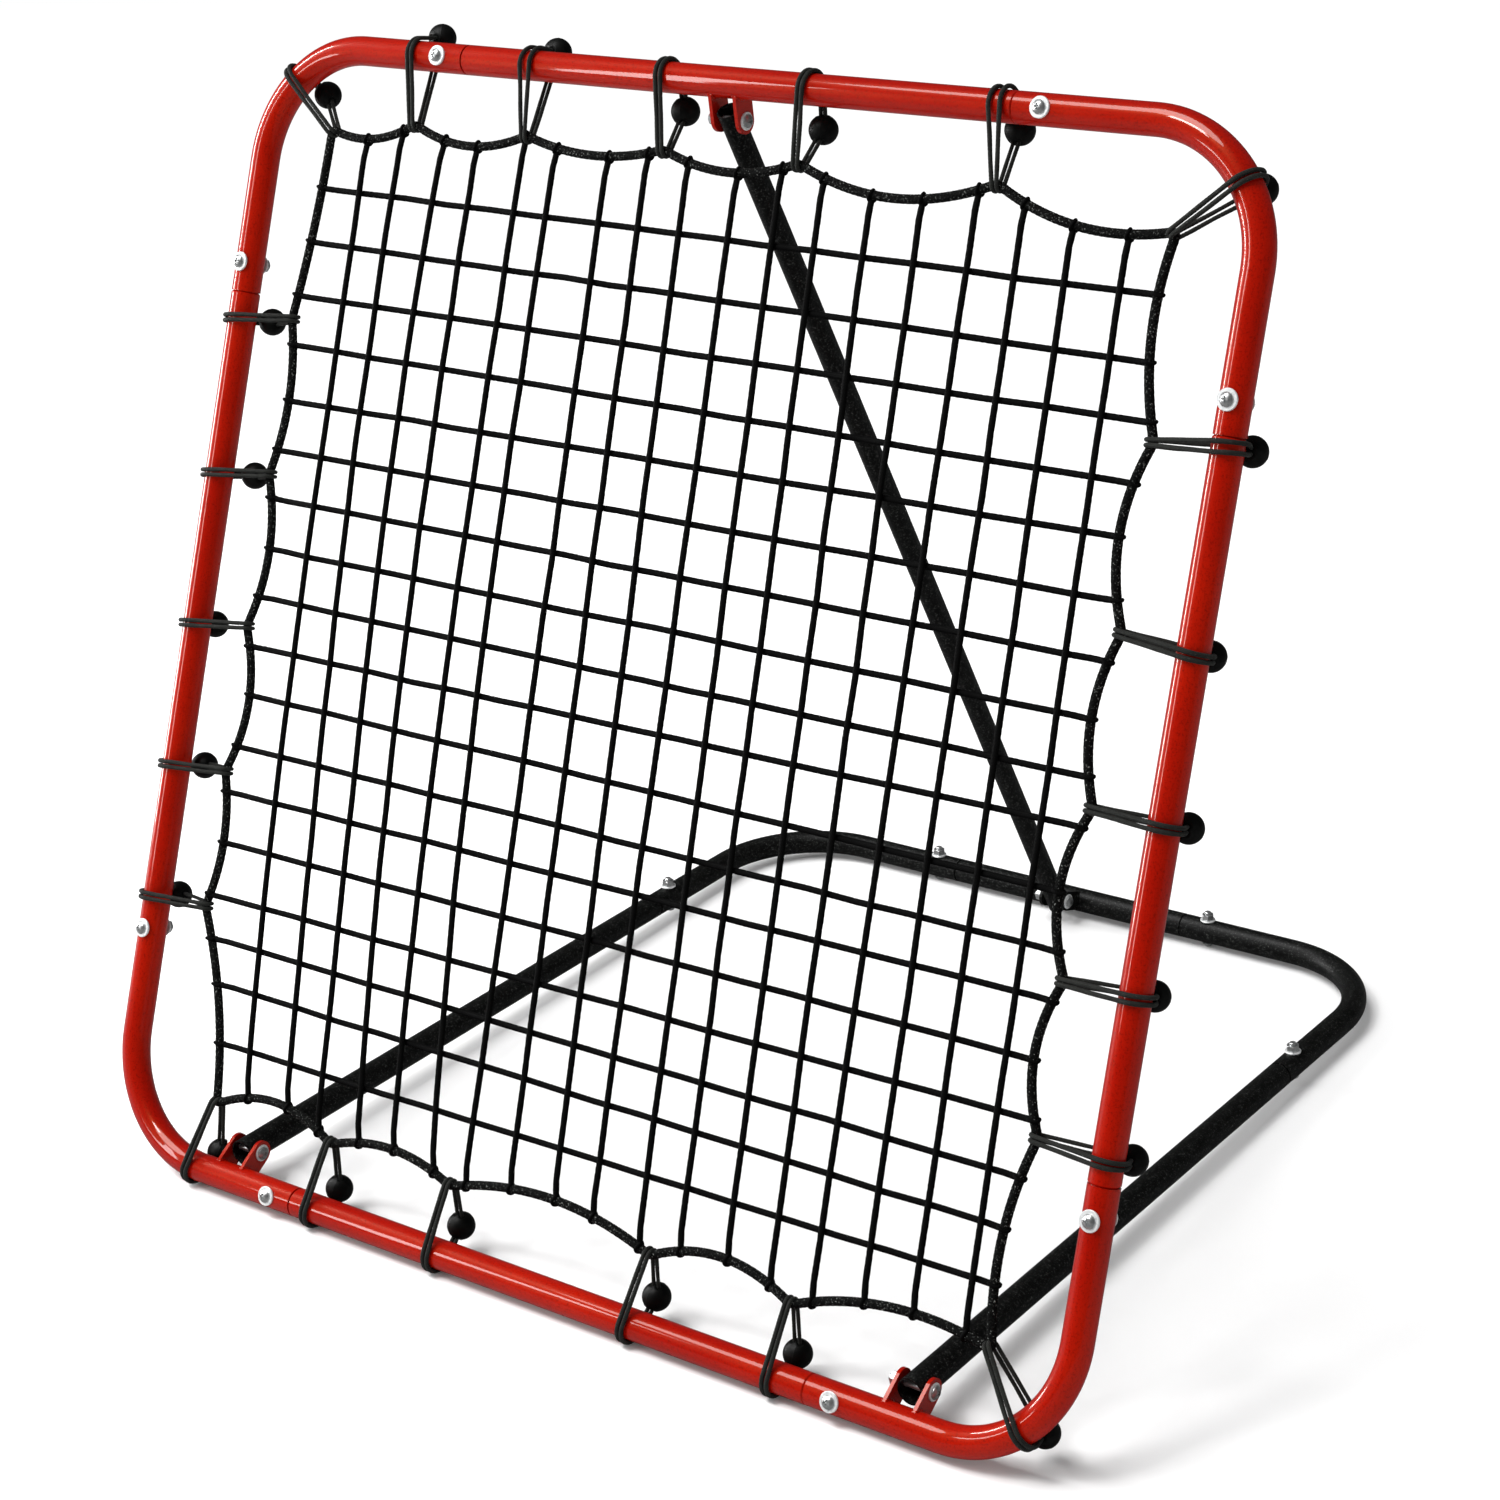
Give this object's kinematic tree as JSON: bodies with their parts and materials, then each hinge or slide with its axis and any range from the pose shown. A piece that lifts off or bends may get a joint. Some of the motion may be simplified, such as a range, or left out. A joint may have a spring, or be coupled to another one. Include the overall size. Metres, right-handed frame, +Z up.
{
  "type": "ball rebounder",
  "caption": "Leaning square tube frame with a cord net held by ball-ended elastic ties, on a folding U-shaped base with one rear strut.",
  "frame": {"origin": "on the ground, under the middle of the footprint", "axes": "+Z up; the net faces -Y and leans back towards +Y; +X to the right seen from in front"},
  "size_m": [0.9702, 0.8067, 0.9041],
  "materials": {
    "red_paint": "gloss",
    "black_paint": "satin powder coat",
    "zinc": "zinc plated",
    "washer_zinc": "bright zinc plated",
    "net_cord": "twisted cord",
    "border_cord": "braided cord",
    "elastic_cord": "braided elastic",
    "ball_plastic": "matte"
  },
  "bodies": {
    "base": {"base_leg_left": "black_paint", "base_leg_right": "black_paint", "base_corner_left": "black_paint", "base_corner_right": "black_paint", "base_crossbar": "black_paint", "strut_ears_foot": "black_paint", "base_screws": "zinc", "base_washers": "washer_zinc", "base_nuts": "zinc", "strut_foot_screws": "zinc", "strut_foot_washers": "washer_zinc", "strut_foot_nuts": "zinc"},
    "front_frame": {"frame_corner_top_left": "red_paint", "frame_corner_top_right": "red_paint", "frame_corner_bottom_left": "red_paint", "frame_corner_bottom_right": "red_paint", "frame_rail_top": "red_paint", "frame_rail_bottom": "red_paint", "frame_rail_left": "red_paint", "frame_rail_right": "red_paint", "hinge_ears_left": "red_paint", "hinge_ears_right": "red_paint", "strut_ears_top": "red_paint", "frame_screws": "zinc", "frame_washers": "washer_zinc", "frame_nuts": "zinc", "hinge_screws": "zinc", "hinge_washers": "washer_zinc", "hinge_nuts": "zinc", "strut_top_screws": "zinc", "strut_top_washers": "washer_zinc", "strut_top_nuts": "zinc", "net_cords_upright": "net_cord", "net_cords_level": "net_cord", "net_border_cord": "border_cord", "tie_cords_top": "elastic_cord", "tie_balls_top": "ball_plastic", "tie_cords_right": "elastic_cord", "tie_balls_right": "ball_plastic", "tie_cords_bottom": "elastic_cord", "tie_balls_bottom": "ball_plastic", "tie_cords_left": "elastic_cord", "tie_balls_left": "ball_plastic", "tie_cords_corner": "elastic_cord", "tie_balls_corner": "ball_plastic"},
    "strut": {"support_strut": "black_paint"}
  },
  "joints": [
    {"name": "frame_fold", "type": "hinge", "parent": "base", "child": "front_frame", "pos_m": [0, -0.36256, 0.03147], "axis": [-1, 0, 0], "range_deg": [0, 66]},
    {"name": "strut_fold", "type": "hinge", "parent": "front_frame", "child": "strut", "pos_m": [0, -0.03475, 0.855], "axis": [-1, 0, 0], "range_deg": [0, 46.3]}
  ],
  "couplings": [
    {"joint": "strut_fold", "follows": "frame_fold", "ratio": 0.7015}
  ]
}
